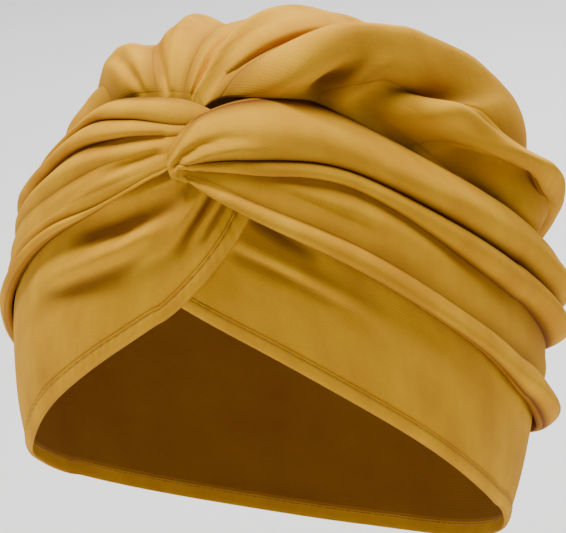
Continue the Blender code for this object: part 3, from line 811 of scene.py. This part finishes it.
crown = {
    "name": "gathered_crown",
    "rise": 0.067,          # how far its middle stands above the plane of the bands' top edge
    "spread": 0.096,        # and how far its sides stand out from the middle line
    "lean": 0.006,          # how far it leans to the wearer's left
    "thickness": 0.0018,
    "gap": 0.0012,
    "tuck": 0.010,          # how far the margin goes down behind the bands
    "rimStart": 0.2,        # where the margin along each side starts, as a share of its run
    "lobeRise": 0.0095,
    "blunt": 0.55,          # under 1, the lobes swell up soon after they leave the bands
    "browPuff": 0.0075,     # how far the cloth bulges out just behind the band on the wearer's left
    "browStart": 0.015,     # share of the way back where that bulge is full
    "browReach": 0.22,      # and where it has nearly ended
    "browRoll": 50.0,       # its middle and its spread, in degrees of roll
    "browSpread": 19.0,
    "shadeStart": 0.08,      # share of the way back from which the painted shade in the hollows is full
    "sideUpright": 0.85,    # share by which the arcs at the sides set off straight up
    "sideFlare": 2.0,       # how far the sides may stand out for each metre above the bands
    "frontEnd": (8, 0.93),  # ends of its foot's middle line, as azimuth and height
    "backEnd": (180, 0.28),
    "halfSteps": 70,
    "lobeSteps": 26,
    # roll of an arc over the crown, and the azimuths where it leaves the bands at the front and back
    "arcs": (
        (-80, -84, -98), (-62, -40, -128), (-36, -10, -152), (-11, 3, -172), (26, 14, -196),
        (42, 32, -212), (55, 52, -226), (67, 72, -238), (78, 94, -254),
    ),
    # roll of each valley, and the swell and roundness of the lobe on the wearer's left of it
    "lobes": (
        (-80, 0.2, 0.4), (-62, 0.75, 0.35), (-36, 0.65, 0.35), (-11, 1.15, 0.25), (29, 1.25, 0.15),
        (57, 0.5, 0.3), (70, 0.6, 0.5), (78, 0.0, 0.0),
    ),
    # path in roll and share from front to back, rise, width, and where along its swell it starts and ends
    "drawn": (
        (((10, 0.00), (4, 0.09), (1, 0.18), (-2, 0.40)), -5.0, 3.5, 0.3, 1.0),
        (((20, 0.00), (13, 0.15), (9, 0.45)), -3.0, 3.5, 0.3, 1.0),
        (((-27, 0.0), (-30, 0.06), (-34, 0.20)), -3.0, 3.0, 0.3, 1.0),
        (((-46, 0.0), (-50, 0.10), (-54, 0.30)), -3.0, 3.0, 0.3, 1.0),
        (((57, 0.02), (53, 0.12), (49, 0.22), (44, 0.34)), -5.0, 3.0, 0.3, 1.0),
        (((40, 0.02), (42, 0.11), (40, 0.26), (36, 0.38), (32, 0.55)), 3.0, 4.5, 0.0, 1.0),
        (((60, 0.05), (57, 0.14), (50, 0.24), (40, 0.33), (36, 0.38)), 3.0, 2.6, 0.2, 1.0),
        (((65, 0.02), (62, 0.18), (57, 0.30), (48, 0.42), (40, 0.52)), -6.5, 3.2, 0.3, 1.0),
        (((69, 0.05), (65, 0.22), (58, 0.36), (52, 0.46), (48, 0.60)), 4.0, 3.2, 0.1, 1.0),
        (((71, 0.10), (70, 0.30), (68, 0.42), (66, 0.55), (62, 0.75)), 5.0, 2.6, 0.1, 1.0),
        (((43, 0.38), (44, 0.46)), 2.0, 4.0, 0.3, 0.7),
        (((30, 0.20), (29, 0.34), (27, 0.48)), -3.5, 3.5, 0.2, 0.9),
        (((34, 0.68), (50, 0.645)), -11.0, 10.0, 0.3, 0.7),
        (((74, 0.08), (72.5, 0.30), (71.5, 0.43), (69, 0.56), (66, 0.70)), -10.0, 2.8, 0.2, 1.0),
        (((60, 0.36), (63, 0.43), (63, 0.52)), -3.5, 3.0, 0.2, 1.0),
        (((20, 0.42), (26, 0.60), (22, 0.80)), -2.5, 5.0, 0.0, 1.0),
        (((-20, 0.50), (-26, 0.68), (-24, 0.85)), -2.5, 5.0, 0.0, 1.0),
    ),
    "stretch": 100.0,       # a share of 1 counts as this many degrees of roll in a drawn fold
    "drawnGain": 2.5,       # over 1, the drawn folds are full before the lobes are
    # painted shade in the lobes' valleys and hollows, darkest near the gathers
    "valleySlope": 1.5,
    "creaseShadeDepth": 0.55,
    "farCreaseShade": 0.25,      # share of the valleys' painted shade that is left far from the gathers
    "gatherShadeReach": 0.22,    # share of the way back where the rest of it has faded
    "hollowShadeDepth": 0.60,
    "hollowShadeSpread": 60,
    "hollowShadeFull": 0.005,
    "leastShade": 0.1,
    # height, size in degrees of roll, number from front to back, and seed
    "wrinkles": ((0.0014, 5.0, 2.2, 2.0), (0.0022, 16.0, 3.5, 7.0)),
    "flat": (0.31, 0.23),
}


def crownBase():
    # middle of the crown's foot, and its directions to the back, to the side and up
    front, back = onForm(*crown["frontEnd"], 0), onForm(*crown["backEnd"], 0)
    along = (back - front) / np.linalg.norm(back - front)
    side = np.cross(along, [0, 0, 1])
    side /= np.linalg.norm(side)
    return (front + back) / 2, along, side, np.cross(side, along)


def settleOnBands(points):
    # keeps points above the bands' top edge, and near the form where they are low
    settled = points.copy()
    edge = bandTop(offForm(points)[0]) * headForm["height"] + cloth["gap"]
    settled[..., 2] = np.maximum(points[..., 2], edge)
    azimuth, share = offForm(settled)
    above = settled[..., 2] - bandTop(azimuth) * headForm["height"]
    middle = formSection(settled[..., 2] / headForm["height"])[3]
    reach = np.hypot(settled[..., 0], settled[..., 1] - middle) / share
    scale = np.minimum(1, (1 + (crown["sideFlare"] * above - crown["gap"]) / reach) / share)
    settled[..., 0] *= scale
    settled[..., 1] = middle + (settled[..., 1] - middle) * scale
    return settled


def crownArcs(frontAzimuth, roll, backAzimuth):
    # arcs from the front edge over the crown to the back edge, one for each column
    centre, along, side, up = crownBase()
    start, end = (onForm(azimuth, bandTop(azimuth) + cloth["gap"] / headForm["height"], -crown["gap"])
                  for azimuth in (frontAzimuth, backAzimuth))
    spread = side * (crown["lean"] + np.sin(roll) * crown["spread"])
    middle = centre + spread + up * np.cos(roll) * crown["rise"]
    behind = ((start + end) / 2 - middle) @ along
    middle = settleOnBands(middle + along * behind[:, None] * np.sin(roll) ** 2)
    puff = middle - (start + end) / 2
    size = np.linalg.norm(puff, axis=-1, keepdims=True)
    upright = crown["sideUpright"] * np.sin(roll) ** 2
    settingOff = puff * (1 - upright) + np.array([0, 0, 1]) * size * upright
    settingOff *= size / np.linalg.norm(settingOff, axis=-1, keepdims=True) * np.pi / 2
    running = (end - start) * np.pi / 4
    t = np.linspace(0, 1, crown["halfSteps"] + 1)[:, None, None]
    return np.concatenate([cubic(start, middle, settingOff, running, t),
                           cubic(middle, end, running, -settingOff, t)[1:]])


def lobeColumns():
    # front azimuth, roll, back azimuth and swell of each column, and how deep it lies in a valley, for
    # painted shade
    across = bunched(crown["lobeSteps"])[:-1]
    columns = []
    for (start, swell, roundShare), (end, _, _) in zip(crown["lobes"], crown["lobes"][1:]):
        profile = foldProfile(across, roundShare)
        columns.append(np.column_stack([start + (end - start) * across, swell * profile,
                                        np.clip(1 - crown["valleySlope"] * profile, 0, 1)]))
    roll, swell, valley = np.concatenate(columns + [[[crown["lobes"][-1][0], 0, 0]]]).T
    arcs = np.array(crown["arcs"], float)
    arcs[:, 2] = arcs[:, 2] + 360
    front, back = curveThrough(arcs[:, 0], arcs[:, 1:], roll).T
    return front, roll, np.where(back > 180, back - 360, back), swell, valley


def addCrown(material):
    frontAzimuth, rollDegrees, backAzimuth, swell, valley = lobeColumns()
    arcs = crownArcs(frontAzimuth, np.radians(rollDegrees)[:, None], backAzimuth)
    share = np.linspace(0, 1, len(arcs))
    full = np.sin(np.pi * share)[:, None] ** crown["blunt"]
    normal = np.cross(np.gradient(arcs, axis=1), np.gradient(arcs, axis=0))
    normal /= np.linalg.norm(normal, axis=-1, keepdims=True)
    rollGrid, shareGrid = np.broadcast_arrays(rollDegrees[None, :], share[:, None])
    drawn = foldField(rollGrid, shareGrid, crown["drawn"], (1, crown["stretch"]))
    height = swell * crown["lobeRise"]
    for rise, size, count, seed in crown["wrinkles"]:
        height = height + softNoise(rollGrid / size, shareGrid * count, seed) * rise
    height = full * height + drawn * np.clip(full * crown["drawnGain"], 0, 1)
    # painted shade in the hollows, faint at the very front
    hollowShade = paintedHollowShade(height, crown["hollowShadeSpread"], crown["hollowShadeFull"])
    hollowShade = hollowShade * np.clip(shareGrid / crown["shadeStart"], crown["leastShade"], 1)
    brow = np.clip(shareGrid / crown["browStart"], 0, 1) * np.exp(-(shareGrid / crown["browReach"]) ** 2)
    aside = (rollGrid - crown["browRoll"]) / crown["browSpread"]
    height += crown["browPuff"] * brow * np.exp(-aside ** 2)
    outer = arcs + normal * height[..., None]
    inner = outer - normal * crown["thickness"]
    # painted shade in the valleys, fading away from the gathers
    far = crown["farCreaseShade"]
    gatherShade = far + (1 - far) * np.exp(-(share / crown["gatherShadeReach"]) ** 2)
    creaseShade = crown["creaseShadeDepth"] * valley[None, :] * gatherShade[:, None]
    creaseShade = np.clip(creaseShade + crown["hollowShadeDepth"] * hollowShade, 0, 1)

    shares = np.linspace(crown["rimStart"], 1 - crown["rimStart"], len(arcs))
    right, left = (frontAzimuth[column] + (backAzimuth[column] - frontAzimuth[column]) * shares
                   for column in (0, -1))
    front, back = (np.concatenate([[(right[row] + ends[0]) / 2], ends, [(left[row] + ends[-1]) / 2]])
                   for row, ends in ((0, frontAzimuth), (-1, backAzimuth)))

    def withMargin(sheet, depth):
        # adds the margin that is tucked behind the bands
        frontEdge, backEdge, rightEdge, leftEdge = (
            onForm(azimuth, bandTop(azimuth) - crown["tuck"] / headForm["height"], -crown["gap"] - depth)
            for azimuth in (front, back, right, left))
        body = np.concatenate([rightEdge[:, None], sheet, leftEdge[:, None]], axis=1)
        return np.concatenate([frontEdge[None], body, backEdge[None]])

    weave = np.stack([lengthAlong(arcs, axis=1), lengthAlong(arcs)], axis=-1)
    weave = np.pad(weave, ((1, 1), (1, 1), (0, 0)), mode="edge")
    piece = addSheet(crown["name"], withMargin(outer, 0), withMargin(inner, crown["thickness"]), weave,
                     np.pad(creaseShade, 1, mode="edge"), jerseyLook["insideShade"], material)
    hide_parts("crown_left", "crown_right")


addCrown(jersey)


# Floor and light

studio = {
    "floorBelow": 0.10,
    "floorSize": 30.0,
    "floorColour": (0.97, 0.96, 0.95, 1.0),
    "floorRoughness": 0.9,
    "skyColour": (1.0, 1.0, 1.0, 1.0),
    "skyStrength": 0.10,
    # name, place, what it points at, width and power
    "lamps": (
        ("key light", (-0.58, -0.48, 1.58), (0.0, 0.0, 0.08), 0.42, 26.0),
        ("top light", (0.20, -0.20, 1.62), (0.0, 0.0, 0.08), 0.6, 20.0),
        ("fill light", (1.60, -1.40, 0.80), (0.0, 0.0, 0.08), 1.4, 1.5),
        ("floor light", (0.0, 1.70, 1.30), (-0.2, 1.40, -0.14), 1.8, 48.0),
    ),
}


def addStudio():
    size = studio["floorSize"]
    level = cadBox[0][2] - studio["floorBelow"]
    mesh = bpy.data.meshes.new("floor")
    corners = [(x * size / 2, y * size / 2, level) for x, y in ((-1, -1), (1, -1), (1, 1), (-1, 1))]
    mesh.from_pydata(corners, [], [(0, 1, 2, 3)])
    floor = bpy.data.objects.new("floor", mesh)
    bpy.context.scene.collection.objects.link(floor)
    material = bpy.data.materials.new("pale floor")
    material.use_nodes = True
    shader = material.node_tree.nodes["Principled BSDF"]
    shader.inputs["Base Color"].default_value = studio["floorColour"]
    shader.inputs["Roughness"].default_value = studio["floorRoughness"]
    mesh.materials.append(material)

    world = bpy.data.worlds.new("studio")
    world.use_nodes = True
    sky = world.node_tree.nodes["Background"]
    sky.inputs["Color"].default_value = studio["skyColour"]
    sky.inputs["Strength"].default_value = studio["skyStrength"]
    bpy.context.scene.world = world

    for name, place, aim, width, power in studio["lamps"]:
        data = bpy.data.lights.new(name, "AREA")
        data.shape = "DISK"
        data.size = width
        data.energy = power
        lamp = bpy.data.objects.new(name, data)
        lamp.location = place
        lamp.rotation_euler = (Vector(place) - Vector(aim)).to_track_quat("Z", "Y").to_euler()
        bpy.context.scene.collection.objects.link(lamp)


addStudio()
print("head wrap: studio")
